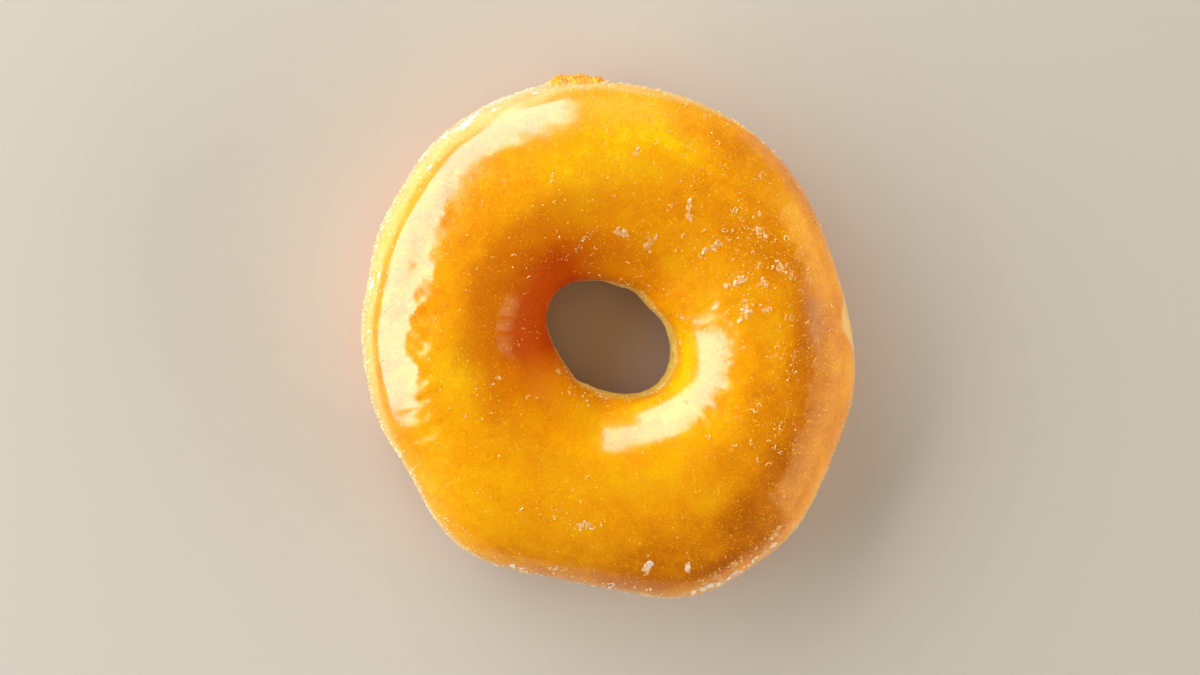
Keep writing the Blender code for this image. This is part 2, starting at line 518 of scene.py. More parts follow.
# The ridges left by glaze that ran down the flank, and the fine wrinkles that run round the wall of the
# hole: how wide and how tall, in degrees, and their seed. Then where they are and how high.
RUNS = (2.6, 30.0, 6.6)
RUNS_AT = (194, 42, 16, 20, 0.12 * MM)
WRINKLES = (16.0, 3.4, 2.9)
WRINKLES_AT = (165, 150, 48, 20, 0.10 * MM)
# The streaks in which it soaked in on the darker side of the hole, the one with the painted shade, and in
# which it feathers out.
SOAKED_STREAKS = (2.2, 26.0, 5.9)
FEATHERED_STREAKS = (2.2, 26.0, 2.6)
BELT_LUMP = 1.4 * MM
BELT_ROUGHNESS = 0.12 * MM
# Where the glaze crackled, where it dried in dull lumps, where it set milky, and where it was scuffed.
CRACKLED_HIGH = (187, 42, 15, 18)
CRACKLED_LOW = (290, 22, 14, 13)
DRIED_AT = (297, 17, 14, 6)
DRIED_LUMPS = ((2.4 * MM, 1.0, 7.1), (1.0 * MM, 0.7, 2.4))
MILKY_AT = (116, 5, 17, 14)
SCUFFED_AT = (7, 62, 9, 6, 0.28)


def glaze_edges(direction):
    """The turns at which the glaze stops, on the flank and in the hole."""
    circle = np.stack([np.cos(np.radians(direction)), np.sin(np.radians(direction)), 0 * direction], axis=-1)
    outside = EDGE_OUTSIDE + EDGE_WANDER * lumps(circle, 0.22, 4.4) + 4 * lumps(circle, 0.07, 1.3)
    in_hole = EDGE_IN_HOLE + EDGE_WANDER * lumps(circle, 0.35, 7.9)
    return outside - rises(direction, GLAZE_RUNS), in_hole


def bead(distance):
    """How thick the glaze lies at a distance from its edge: a round bead, thinning to the usual depth."""
    nose = np.sqrt(np.clip(1 - (1 - np.clip(distance / EDGE_WIDTH, 0, 1)) ** 2, 0, 1))
    extra = EDGE_BEAD * (1 - step(distance, EDGE_WIDTH, EDGE_WIDTH + BEAD_TAIL))
    return nose * (GLAZE_DEPTH + extra)


def edge_rows(count):
    """Shares from 0 to 1, close together near both ends, where the glaze curls over."""
    even = np.linspace(0, 1, count)
    return even - 0.115 * np.sin(2 * math.pi * even) - 0.012 * np.sin(4 * math.pi * even)


def streaks(direction, turn, wide, tall, seed):
    """Unevenness whose lumps are so many degrees wide round the ring, and so many tall round its section."""
    return lumps(np.stack([direction / wide, turn / tall, 0 * turn], axis=-1), 1.0, seed)


def crackle_at(direction, turn):
    """1 where the glaze has crackled: high on one flank, and low on the other."""
    high = blot(direction, turn, *CRACKLED_HIGH)
    low = blot(direction, turn, *CRACKLED_LOW)
    return np.clip(1.6 * np.maximum(high, low) - 0.3, 0, 1)


def thinness_at(direction, turn):
    """1 where the glaze soaked in and left hardly any gloss: low in the hole, and by the torn scrap."""
    low_in_hole = hump(turn, 184, 24)
    # Down the darker side of the hole, the one with the painted shade, it soaked in, in streaks, and it left
    # one glossy strip.
    streaky = 0.25 + 1.3 * streaks(direction, turn, *SOAKED_STREAKS)
    past_strip = step(away_from(direction, 172), 11, 18)
    ember_and_shade_side = np.maximum(step(turn, 120, 129), past_strip * step(turn, 104, 118))
    ember_and_shade_side = np.maximum(ember_and_shade_side, streaky * step(turn, 98, 108))
    ember_and_shade_side = ember_and_shade_side * np.clip(1.3 * hump(direction, 170, 75), 0, 1)
    # On the flank by the scrap the dull part ends in a rounded tongue.
    past_tongue = away_from(direction, 80) - ((turn - 33) / 10) ** 2
    by_scrap = (1 - step(past_tongue, 18, 25)) * window(turn, 8, 16, 60, 76)
    # Near the hole's edge it wore off, and above that it feathers out towards the crown.
    to_edge = step(turn, 141, 145) * (1 - step(direction, 280, 292))
    by_hole = np.maximum(to_edge, 1 - step(direction, 258, 264))
    by_hole = by_hole * step(turn, 112, 120) * step(direction, 205, 215)
    feathered = np.clip(0.65 + 0.9 * streaks(direction, turn, *FEATHERED_STREAKS), 0, 1)
    feathered = feathered * window(turn, 98, 112, 122, 135) * window(direction, 268, 290, 350, 359)
    # It ran off one stretch of the flank.
    run_off = window(direction, 195, 205, 230, 250) * (1 - step(turn, 84, 98))
    everywhere = [low_in_hole, ember_and_shade_side, by_scrap, by_hole, feathered, 0.6 * run_off]
    return np.clip(np.max(everywhere, axis=0), 0, 1)


def glaze_waves(direction, turn, places):
    """How far the set glaze's surface stands off the plain ring, away from its edges."""
    restless = 1.0 + blots(direction, turn, RESTLESS_PATCHES)
    waves = layered(places, GLAZE_WAVES) * restless + layered(places, GLAZE_SWELL)
    waves = waves + streaks(direction, turn, *RUNS) * blot(direction, turn, *RUNS_AT)
    waves = waves + streaks(direction, turn, *WRINKLES) * blot(direction, turn, *WRINKLES_AT)
    waves = waves + BELT_ROUGHNESS * belt_at(direction, turn, places) * lumps(places, BELT_LUMP, 3.3)
    return waves + form_at(direction, turn, places)


def make_glaze_mesh():
    direction = spread(SKIN_DIRECTIONS)
    outside, in_hole = glaze_edges(direction)
    turn = outside + (in_hole - outside) * edge_rows(GLAZE_TURNS)[:, None]
    direction = np.broadcast_to(direction, turn.shape)
    plain = on_ring(direction, turn)
    arc = np.radians(1) * reach(direction, turn)
    distance = np.minimum(turn - outside, in_hole - turn) * arc
    waves = glaze_waves(direction, turn, plain)
    settled = step(distance, 0, EDGE_WIDTH)
    lift = bead(distance) - GLAZE_DEPTH - EDGE_SINK * (1 - settled) + waves * settled
    skin = on_ring(direction, turn, lift)
    skin[..., 2] = np.maximum(skin[..., 2], 0)

    lining_turn = in_hole - (in_hole - outside) * np.linspace(0, 1, LINING_TURNS)[:, None]
    lining_plain = on_ring(direction[:LINING_TURNS], lining_turn)
    lining_lift = form_at(direction[:LINING_TURNS], lining_turn, lining_plain) - LINING_DEPTH
    lining = on_ring(direction[:LINING_TURNS], lining_turn, lining_lift)
    mesh = ring_mesh("sugar_glaze", np.concatenate([skin, lining]), closed=True)

    dried = step(layered(plain, DRIED_LUMPS), -0.05, 0.5) * blot(direction, turn, *DRIED_AT)
    milky = (0.5 + 0.5 * lumps(plain, 1.8 * MM, 4.6)) * blot(direction, turn, *MILKY_AT)
    scuffed = blot(direction, turn, *SCUFFED_AT)
    frost = np.max([1 - step(distance, 0.4 * MM, 2.2 * MM), dried, milky, scuffed], axis=0)
    paint_crust(mesh, direction, turn, plain)
    paint(mesh, "frost", frost)
    paint(mesh, "crackle", crackle_at(direction, turn))
    paint(mesh, "thinness", thinness_at(direction, turn))
    return mesh


MILKY_SUGAR = (0.90, 0.78, 0.58, 1)
GOLDEN_DEPTH = (1.0, 0.55, 0.02, 1)
YELLOW_SUGAR = (1.0, 0.60, 0.004, 1)
SPARKLE_SIZE = 0.42 * MM
SPARKLE_PATCH = 2.6 * MM
PEEL_SIZE = 1.5 * MM
PIT_SIZE = 0.6 * MM
CRACK_SPACING = 3.4 * MM
RELIEF_DEPTH = 0.16 * MM


def make_glaze():
    """Set glaze: the crust's colours seen through clear sugar, milky where it lies thick."""
    material, tree, surface, where = new_material("sugar_glaze")
    seen_through = add_node(tree, "ShaderNodeGroup", node_tree=fried_colours).outputs["Colour"]
    sparkle = calculate(tree, "MULTIPLY_ADD", grain(tree, where, SPARKLE_SIZE, 1.0), 7.0, -4.2, clamped=True)
    gathered = calculate(tree, "MULTIPLY_ADD", grain(tree, where, SPARKLE_PATCH), 3.0, -0.75, clamped=True)
    sparkle = calculate(tree, "MULTIPLY", sparkle, gathered)
    # Less sparkle on the darker side of the hole, the one with the painted shade.
    away_from_ember_and_shade = calculate(tree, "MULTIPLY_ADD", painted(tree, "ember_and_shade"), -0.75, 0.9)
    sparkle = calculate(tree, "MULTIPLY", sparkle, away_from_ember_and_shade)
    dusted = blend_colours(tree, sparkle, seen_through, YELLOW_SUGAR)
    cloudy = calculate(tree, "MULTIPLY", painted(tree, "frost"), 0.6)

    peel = grain(tree, where, PEEL_SIZE, 2.5)
    pits = calculate(tree, "MULTIPLY_ADD", grain(tree, where, PIT_SIZE, 0.0), 12.0, -8.4, clamped=True)
    cells = (("Vector", where), ("Scale", 1 / CRACK_SPACING))
    cells = add_node(tree, "ShaderNodeTexVoronoi", cells, feature="DISTANCE_TO_EDGE").outputs["Distance"]
    cracks = calculate(tree, "LESS_THAN", cells, 0.026)
    cracks = calculate(tree, "MULTIPLY", cracks, painted(tree, "crackle"))
    height = calculate(tree, "MULTIPLY_ADD", pits, -0.5, peel)
    height = calculate(tree, "MULTIPLY_ADD", cracks, -0.6, height)
    set_inputs(surface, (
        ("Base Color", blend_colours(tree, cloudy, dusted, MILKY_SUGAR)),
        ("Normal", relief(tree, height, RELIEF_DEPTH)),
        ("Roughness", 0.42),
        ("Specular IOR Level", 0.2),
        ("Specular Tint", GOLDEN_DEPTH),
        ("Coat Weight", calculate(tree, "MULTIPLY_ADD", painted(tree, "thinness"), -0.97, 1.0)),
        ("Coat Roughness", 0.17),
        ("Coat IOR", 1.5),
        ("Subsurface Weight", 0.3),
        ("Subsurface Radius", (1.0, 0.5, 0.15)),
        ("Subsurface Scale", 1.6 * MM),
    ))
    return material


add_piece("sugar_glaze", make_glaze_mesh(), make_glaze())

# ----------------------------------------------------------------------
# The torn scrap. Where the ring touched its neighbour on the proving tray and was pulled off it, a rag of
# dough stood out of the flank, and it fried to a crisp, crumbly edge.

SCRAP_DIRECTIONS = (85.0, 111.0)
SCRAP_TURNS = (-32.0, 26.0)
SCRAP_COLUMNS = 200
SCRAP_ROWS = 100
SCRAP_THICKNESS = 1.5 * MM
# Its ragged oval hem: the middle and reach in direction and in turn, and how unevenly it is torn.
HEM_MIDDLE = (98, -3)
HEM_REACH = (12.0, 26.0)
HEM_TEARS = ((2.6 * MM, 0.24, 1.8), (0.9 * MM, 0.12, 5.5))
HEM_SINK = 0.6 * MM
SCRAP_CRUMBS = ((1.9 * MM, 1.3, 3.7), (0.7 * MM, 0.8, 9.4))
CRUMB_HEIGHT = 0.25 * MM
# Its tatters: direction, turn, spread in degrees of each, how far each stands out.
TATTERS = (
    (104.2, 7, 1.3, 5, 0.8 * MM), (101.2, 5, 1.5, 7, 1.7 * MM), (98.6, 6, 1.2, 6, 0.9 * MM),
    (96.4, 1, 1.2, 8, 0.6 * MM), (94.0, 5, 1.4, 6, 1.1 * MM), (91.8, 4, 1.0, 6, 0.8 * MM),
    (100.6, -9, 1.8, 7, 0.7 * MM), (95.6, -8, 1.7, 6, 0.5 * MM),
)


def closed_patch(name, top, bottom):
    """A closed mesh between two sheets of points, given as places[row][column]."""
    rows, columns = top.shape[:2]
    corner = np.arange(rows * columns).reshape(rows, columns)
    below = rows * columns
    quads = [corner[:-1, :-1], corner[:-1, 1:], corner[1:, 1:], corner[1:, :-1]]
    quads = np.stack(quads, axis=-1).reshape(-1, 4)
    rim = np.concatenate([corner[0], corner[1:, -1], corner[-1, -2::-1], corner[-2:0:-1, 0]])
    onwards = np.roll(rim, -1)
    walls = np.stack([onwards, rim, rim + below, onwards + below], axis=-1)
    return quad_mesh(name, np.stack([top, bottom]), np.concatenate([quads, quads[:, ::-1] + below, walls]))


def make_scrap():
    directions = np.linspace(*SCRAP_DIRECTIONS[::-1], SCRAP_COLUMNS)
    direction, turn = grid(directions, np.linspace(*SCRAP_TURNS[::-1], SCRAP_ROWS))
    plain = on_ring(direction, turn)
    rag = blots(direction, turn, TATTERS)
    crumb = sum(much * np.abs(lumps(plain, size, seed)) for size, much, seed in SCRAP_CRUMBS)
    outwards = np.hypot((direction - HEM_MIDDLE[0]) / HEM_REACH[0], (turn - HEM_MIDDLE[1]) / HEM_REACH[1])
    outwards = outwards + layered(plain, HEM_TEARS)
    rag_share = 1 - step(outwards, 0.45, 0.85)
    lift = (0.6 * rag * (0.15 + crumb) + CRUMB_HEIGHT * crumb) * rag_share
    lift = lift - HEM_SINK * (1 - rag_share) - 0.1 * MM
    top = on_ring(direction, turn, lift)
    bottom = on_ring(direction, turn, -SCRAP_THICKNESS)
    mesh = closed_patch("torn_scrap", top, bottom)
    both = np.stack([plain, plain])
    paint(mesh, "belt", np.clip(0.95 - 1.3 * rag_share + 0.5 * lumps(both, 1.5 * MM, 2.8), 0, 1))
    paint(mesh, "browning_and_painted_light", np.clip(0.20 + 0.4 * lumps(both, 0.9 * MM, 5.1), 0, 1))
    paint(mesh, "ember_and_shade", 0)
    return mesh


add_piece("torn_scrap", make_scrap(), make_crust())

# ----------------------------------------------------------------------
# The flaked sugar. The top of the set glaze dries to a thin crust, which cracks and lifts in scales where
# the ring is handled. Along the lower edge of one flank it has dried thicker and paler.

STREWING_DIRECTIONS = 600
STREWING_TURNS = 260
STREWN_TURNS = (-60, 240)
CLEAR_OF_TABLE = (0.6 * MM, 1.2 * MM)  # nothing clings lower than this
CRUMPLE_SIZE = 0.28 * MM


def sugar_film(tree, given):
    """One scale of flaked sugar: a thin lens, one across, that the crumpling bends."""
    lens = add_node(tree, "GeometryNodeMeshUVSphere", (("Radius", 0.5), ("Segments", 9), ("Rings", 6)))
    return lens.outputs["Mesh"]


STREWING_SIZES = (
    "Per square metre", "Narrowest", "Widest", "Mostly narrow", "Flatness", "Lean", "Sink", "Crumple", "Rim",
)
STREWING_INPUTS = (
    *((title, "NodeSocketFloat") for title in STREWING_SIZES),
    ("Fineness", "NodeSocketInt"), ("Seed", "NodeSocketInt"), ("Material", "NodeSocketMaterial"),
)


def scaled(tree, shift, scale):
    values = (("Vector", shift), ("Scale", scale))
    return add_node(tree, "ShaderNodeVectorMath", values, operation="SCALE").outputs["Vector"]


def vector(tree, x, y, z):
    return add_node(tree, "ShaderNodeCombineXYZ", (("X", x), ("Y", y), ("Z", z))).outputs["Vector"]


def random_number(tree, low, high, seed):
    values = (("Min", low), ("Max", high), ("Seed", seed))
    return add_node(tree, "FunctionNodeRandomValue", values, data_type="FLOAT").outputs[1]


def make_strewing(name, make_bit):
    """A Geometry Nodes tree that strews bits over a surface, densest where its painted "where" is 1."""
    tree = bpy.data.node_groups.new(name, "GeometryNodeTree")
    tree.interface.new_socket("Surface", in_out="INPUT", socket_type="NodeSocketGeometry")
    for title, kind in STREWING_INPUTS:
        tree.interface.new_socket(title, in_out="INPUT", socket_type=kind)
    tree.interface.new_socket("Strewn", in_out="OUTPUT", socket_type="NodeSocketGeometry")
    given = add_node(tree, "NodeGroupInput").outputs

    where = add_node(tree, "GeometryNodeInputNamedAttribute", (("Name", "where"),), data_type="FLOAT")
    density = calculate(tree, "MULTIPLY", where.outputs["Attribute"], given["Per square metre"])
    scattered = (("Mesh", given["Surface"]), ("Density", density), ("Seed", given["Seed"]))
    points = add_node(tree, "GeometryNodeDistributePointsOnFaces", scattered, distribute_method="RANDOM")
    deep = calculate(tree, "MULTIPLY", given["Sink"], -1.0)
    sunk = (("Geometry", points.outputs["Points"]), ("Offset", scaled(tree, points.outputs["Normal"], deep)))
    sunk = add_node(tree, "GeometryNodeSetPosition", sunk).outputs["Geometry"]

    draw = random_number(tree, 0.0, 1.0, given["Seed"])
    share = calculate(tree, "POWER", draw, given["Mostly narrow"])
    room = calculate(tree, "SUBTRACT", given["Widest"], given["Narrowest"])
    width = calculate(tree, "MULTIPLY_ADD", share, room, given["Narrowest"])
    other = calculate(tree, "ADD", given["Seed"], 1.0)
    across = calculate(tree, "MULTIPLY", width, random_number(tree, 0.4, 1.0, other))
    size = vector(tree, width, across, calculate(tree, "MULTIPLY", width, given["Flatness"]))
    lean = calculate(tree, "MULTIPLY", given["Lean"], -1.0)
    least = vector(tree, lean, lean, 0.0)
    most = vector(tree, given["Lean"], given["Lean"], 2 * math.pi)
    spin = (("Min", least), ("Max", most), ("Seed", other))
    spin = add_node(tree, "FunctionNodeRandomValue", spin, data_type="FLOAT_VECTOR").outputs[0]
    spin = add_node(tree, "FunctionNodeEulerToRotation", (("Euler", spin),)).outputs["Rotation"]
    facing = (("Rotation", points.outputs["Rotation"]), ("Rotate By", spin))
    facing = add_node(tree, "FunctionNodeRotateRotation", facing, rotation_space="LOCAL").outputs["Rotation"]

    placed = (("Points", sunk), ("Instance", make_bit(tree, given)), ("Rotation", facing), ("Scale", size))
    placed = add_node(tree, "GeometryNodeInstanceOnPoints", placed).outputs["Instances"]
    tinted = (("Geometry", placed), ("Name", "tint"), ("Value", draw))
    tinted = add_node(
        tree, "GeometryNodeStoreNamedAttribute", tinted, data_type="FLOAT", domain="INSTANCE"
    ).outputs["Geometry"]
    real = add_node(tree, "GeometryNodeRealizeInstances", (("Geometry", tinted),)).outputs["Geometry"]
    place = add_node(tree, "GeometryNodeInputPosition").outputs["Position"]
    rough = (("Vector", place), ("Scale", 1 / CRUMPLE_SIZE), ("Detail", 1.0))
    rough = add_node(tree, "ShaderNodeTexNoise", rough).outputs["Color"]
    push = add_node(tree, "ShaderNodeVectorMath", ((0, rough), (1, (0.5, 0.5, 0.5))), operation="SUBTRACT")
    crumpled = (("Geometry", real), ("Offset", scaled(tree, push.outputs["Vector"], given["Crumple"])))
    crumpled = add_node(tree, "GeometryNodeSetPosition", crumpled).outputs["Geometry"]
    finished = (("Geometry", crumpled), ("Material", given["Material"]))
    finished = add_node(tree, "GeometryNodeSetMaterial", finished).outputs["Geometry"]
    add_node(tree, "NodeGroupOutput", (("Strewn", finished),))
    return tree


def strewing_surface(where):
    """The glaze's surface, painted with how densely a kind of bit is strewn on it."""
    direction, turn = grid(spread(STREWING_DIRECTIONS), spread(STREWING_TURNS, *STREWN_TURNS))
    plain = on_ring(direction, turn)
    places = on_ring(direction, turn, glaze_waves(direction, turn, plain))
    mesh = ring_mesh("strewing_surface", places)
    off_table = step(places[..., 2], *CLEAR_OF_TABLE)
    paint(mesh, "where", np.clip(where(direction, turn, places), 0, 1) * off_table)
    return mesh


def strew(name, tree, where, material, smooth=False, **amounts):
    """Strews bits over the doughnut and keeps them as one plain mesh."""
    amounts["Material"] = material
    holder = into_scene(name, strewing_surface(where))
    strewing = holder.modifiers.new("strewing", "NODES")
    strewing.node_group = tree
    for socket in tree.interface.items_tree:
        title = socket.name.replace(" ", "_")
        if socket.in_out == "INPUT" and title in amounts:
            strewing[socket.identifier] = amounts[title]
    bpy.context.view_layer.update()
    ready = holder.evaluated_get(bpy.context.evaluated_depsgraph_get())
    mesh = bpy.data.meshes.new_from_object(ready)
    bpy.data.objects.remove(holder)
    mesh.polygons.foreach_set("use_smooth", [smooth] * len(mesh.polygons))
    return add_piece(name, mesh, material)


def patch(direction, turn, spots):
    """Soft-edged oval spots, each with its direction, turn, length and width in mm, and heading."""
    total = 0
    for middle, height, length, width, heading in spots:
        centre = on_ring(middle, height)
        arc = math.radians(1) * reach(middle, height)
        round_ring = math.radians(1) * math.hypot(centre[0], centre[1])
        along = ((direction - middle + 180) % 360 - 180) * round_ring
        up = (turn - height) * arc
        angle = math.radians(heading)
        long_way = along * math.cos(angle) + up * math.sin(angle)
        short_way = up * math.cos(angle) - along * math.sin(angle)
        total = total + np.exp(-((2 * long_way / (length * MM)) ** 2) - (2 * short_way / (width * MM)) ** 2)
    return total


FLAKED_SIDE = (40, 95, 45, 36)  # where the small flakes lie: direction, turn, and the spread of each
# The biggest flakes: direction, turn, length and width in mm, and the heading of the length in degrees.
FLAKE_SPOTS = (
    (49, 46, 3.4, 0.8, 75), (85, 67, 1.6, 1.0, 90), (61, 103, 1.3, 1.0, 0), (90, 125, 2.2, 2.0, 0),
    (73, 129, 3.4, 1.8, 85), (45, 106, 4.8, 1.3, 70), (24, 75, 5.2, 1.5, 25), (38, 75, 2.2, 1.3, 20),
    (27, 111, 4.2, 1.2, 90), (22, 96, 2.3, 1.3, 105), (19, 110, 2.0, 0.8, 115), (13, 112, 2.8, 1.1, 125),
    (12, 98, 1.4, 0.9, 90), (196, 109, 3.0, 0.8, 110), (258, 69, 3.2, 1.8, 40), (310, 28, 3.0, 1.6, 30),
    (298, 26, 3.0, 1.6, 10), (291, 20, 8.0, 1.8, 0), (287, 37, 5.0, 0.8, 80), (277, 41, 4.4, 0.7, 88),
    (255, 29, 3.2, 1.4, 0), (207, 157, 1.4, 1.2, 0), (17, 150, 4.4, 0.8, 60),
)


def flakes_where(direction, turn, places):
    ragged = 0.35 + 1.3 * np.abs(lumps(places, 0.8 * MM, 4.9))
    scattered = step(lumps(places, 2.6 * MM, 8.8), 0.52, 0.66) * blot(direction, turn, *FLAKED_SIDE)
    return 1.3 * patch(direction, turn, FLAKE_SPOTS) * ragged + 0.5 * scattered - 0.15


# The thick dry crust along the lower edge, and its two trails up the flank, given in the same way.
RIM_CRUST_SPOTS = (
    (291, 18, 8.0, 1.3, 0), (299, 18, 5.0, 0.9, 12), (306, 20, 3.0, 0.9, 0), (303, 26, 2.2, 0.8, 30),
    (277, 40, 2.6, 0.6, 80), (287, 37, 4.2, 0.6, 84), (269, 22, 1.8, 0.8, 80), (247, 18, 3.0, 0.7, 0),
)


def rim_crust_where(direction, turn, places):
    ragged = 0.5 + 1.2 * lumps(places, 0.9 * MM, 6.3)
    return 1.6 * patch(direction, turn, RIM_CRUST_SPOTS) * ragged - 0.12


def dry_sugar(name, pale, amber, roughness):
    """Crystallised sugar: pale and frosty, and here and there amber, where the glaze shows through it."""
    material, tree, surface, where = new_material(name)
    mixed = calculate(tree, "MULTIPLY_ADD", painted(tree, "tint"), 0.7, grain(tree, where, 0.5 * MM))
    mixed = calculate(tree, "SUBTRACT", mixed, 0.3)
    set_inputs(surface, (
        ("Base Color", blend_colours(tree, mixed, amber, pale)),
        ("Roughness", roughness),
        ("Coat Weight", 0.6),
        ("Coat Roughness", 0.2),
        ("Subsurface Weight", 0.2),
        ("Subsurface Radius", (1.0, 0.6, 0.3)),
        ("Subsurface Scale", 0.4 * MM),
    ))
    return material


FLAKE_PALE = (0.92, 0.50, 0.16, 1)
FLAKE_AMBER = (0.86, 0.35, 0.03, 1)
RIM_PALE = (1.0, 0.76, 0.58, 1)
RIM_AMBER = (0.96, 0.58, 0.30, 1)

strewn_films = make_strewing("strewn_films", sugar_film)
strew(
    "sugar_flakes", strewn_films, flakes_where, dry_sugar("flaked_sugar", FLAKE_PALE, FLAKE_AMBER, 0.4),
    Per_square_metre=8.6e6, Narrowest=0.3 * MM, Widest=1.4 * MM, Mostly_narrow=1.4, Flatness=0.16,
    Lean=0.45, Sink=0.04 * MM, Crumple=0.40 * MM, Seed=11,
)
strew(
    "rim_crust", strewn_films, rim_crust_where, dry_sugar("dried_sugar", RIM_PALE, RIM_AMBER, 0.35),
    Per_square_metre=7.0e6, Narrowest=0.4 * MM, Widest=1.9 * MM, Mostly_narrow=1.5, Flatness=0.16,
    Lean=0.4, Sink=0.02 * MM, Crumple=0.45 * MM, Seed=61,
)

# ----------------------------------------------------------------------
# The crystals of sugar. Fine grains stick all over the glaze while it is warm, and bright ones gather on
# and round the flakes. They are solid sugar, held by the glaze that they stand in.

def sugar_crystal(tree, given):
    """One crumb of sugar: a small rough ball, one across."""
    ball = add_node(tree, "GeometryNodeMeshIcoSphere", (("Radius", 0.5), ("Subdivisions", given["Fineness"])))
    return ball.outputs["Mesh"]


# The trail of bright crystals on the wall of the hole, given as the flakes are.
GLINT_SPOTS = (
    (109, 125, 5.2, 1.2, 31), (120, 131, 3.6, 1.0, 12), (128, 126, 3.4, 1.0, -75), (354, 77, 3.6, 1.6, 0),
)


def glints_where(direction, turn, places):
    """Small bright crystals on and round the flakes, and in a trail on the wall of the hole."""
    clumps = step(lumps(places, 1.2 * MM, 3.6), -0.2, 0.4)
    trail = 1.4 * patch(direction, turn, GLINT_SPOTS) * (0.25 + clumps)
    return 0.45 * patch(direction, turn, FLAKE_SPOTS) + trail - 0.05


# Where the grains crowd: direction, turn, the spread of each, and how thickly.
GRAIN_CROWDS = ((40, 100, 42, 40, 0.45), (86, 58, 24, 24, 0.5), (0, 52, 35, 16, 0.3))
GRAIN_CLUMPS = ((5 * MM, 1.0, 7.3), (1.6 * MM, 0.6, 2.9))


def grains_where(direction, turn, places):
    """Most grains lie on the crown's far right, and hardly any on the flank or in the hole."""
    crowd = 0.08 + 0.10 * hump(direction, 110, 60) + blots(direction, turn, GRAIN_CROWDS)
    clumps = step(layered(places, GRAIN_CLUMPS), -0.05, 0.75)
    return crowd * (0.16 + clumps) * step(turn, -40, 20)


GLINT_PALE = (1.0, 0.74, 0.30, 1)
GLINT_AMBER = (0.98, 0.50, 0.08, 1)
GRAIN_PALE = (1.0, 0.66, 0.13, 1)
GRAIN_AMBER = (0.96, 0.45, 0.01, 1)

strewn_crystals = make_strewing("strewn_crystals", sugar_crystal)
strew(
    "sugar_glints", strewn_crystals, glints_where, dry_sugar("bright_sugar", GLINT_PALE, GLINT_AMBER, 0.2),
    Per_square_metre=1.6e7, Narrowest=0.09 * MM, Widest=0.34 * MM, Mostly_narrow=2.6, Flatness=0.7,
    Lean=0.8, Sink=-0.06 * MM, Crumple=0.18 * MM, Fineness=1, Seed=19,
)
strew(
    "sugar_grains", strewn_crystals, grains_where, dry_sugar("grained_sugar", GRAIN_PALE, GRAIN_AMBER, 0.2),
    Per_square_metre=9.0e6, Narrowest=0.09 * MM, Widest=0.45 * MM, Mostly_narrow=2.6, Flatness=0.4,
    Lean=0.6, Sink=0.02 * MM, Crumple=0.20 * MM, Fineness=1, Seed=23,
)

# ----------------------------------------------------------------------
# The burst bubbles. Steam from the hot dough blows bubbles in the glaze. Most leave a torn, curled rim of
# sugar where they burst, and a few stay open with a whole, rounded rim.

def bubble_rim(tree, given):
    """The rim of an open bubble: a ring with a round edge, one across."""
    middle = calculate(tree, "SUBTRACT", 0.5, given["Rim"])
    ring = add_node(tree, "GeometryNodeCurvePrimitiveCircle", (("Resolution", 11), ("Radius", middle)))
    edge = add_node(tree, "GeometryNodeCurvePrimitiveCircle", (("Resolution", 5), ("Radius", given["Rim"])))
    swept = (("Curve", ring.outputs["Curve"]), ("Profile Curve", edge.outputs["Curve"]))
    return add_node(tree, "GeometryNodeCurveToMesh", swept).outputs["Mesh"]


# Where the torn rims crowd: direction, turn, the spread of each, and how thickly.
CURL_CROWDS = ((35, 95, 50, 36, 0.8), (345, 85, 30, 30, 0.5), (113, 121, 12, 12, 0.6))
BUBBLE_CROWD = (208, 158, 14, 12, 0.5)  # the same, for the whole rims


def curls_where(direction, turn, places):
    """The torn rims of burst bubbles lie in loose groups on the far side of the crown."""
    crowd = 0.10 + blots(direction, turn, CURL_CROWDS)
    return crowd * (0.1 + step(lumps(places, 3.4 * MM, 2.1), 0.05, 0.4))


def bubbles_where(direction, turn, places):
    """Whole open rims are few, and the most lie low on the wall of the hole."""
    crowd = 0.10 + blot(direction, turn, *BUBBLE_CROWD) + 0.25 * hump(direction, 20, 60)
    return crowd * step(lumps(places, 6 * MM, 5.8), -0.1, 0.6)


CURL_PALE = (1.0, 0.72, 0.24, 1)
CURL_AMBER = (0.98, 0.50, 0.04, 1)

strewn_bubbles = make_strewing("strewn_bubbles", bubble_rim)
strew(
    "sugar_curls", strewn_bubbles, curls_where, dry_sugar("curled_sugar", CURL_PALE, CURL_AMBER, 0.25),
    Per_square_metre=4.5e5, Narrowest=0.4 * MM, Widest=1.3 * MM, Mostly_narrow=1.8, Flatness=0.9,
    Lean=0.7, Sink=0.03 * MM, Crumple=0.30 * MM, Rim=0.075, Seed=29,
)
strew(
    "glaze_bubbles", strewn_bubbles, bubbles_where, dry_sugar("bubbled_sugar", FLAKE_PALE, FLAKE_AMBER, 0.2),
    smooth=True, Per_square_metre=1.1e5, Narrowest=0.5 * MM, Widest=1.4 * MM, Mostly_narrow=2.0,
    Flatness=0.7, Lean=0.16, Sink=0.06 * MM, Crumple=0.16 * MM, Rim=0.10, Seed=37,
)

# ----------------------------------------------------------------------
# The bits on the belt. Spatters of thicker icing set white on the pale dough, and the belt's dry skin
# sheds a fuzz of crumbs, which the glaze has caught.

# The dabs, given as the flakes are.
DAB_SPOTS = (
    (122, 11, 2.6, 1.6, 5), (125, 13, 3.2, 2.0, 8), (129, 8, 2.6, 1.6, 0), (167, 13, 1.7, 1.3, 90),
    (164, 20, 1.0, 0.7, 0), (117, 17, 1.6, 0.6, 0), (108, 15, 1.4, 0.5, 0), (137, 19, 1.2, 0.6, 20),
    (117, 4, 3.6, 1.2, 0), (112, 2, 2.0, 1.0, 0), (136, -2, 1.6, 1.0, 0),
)


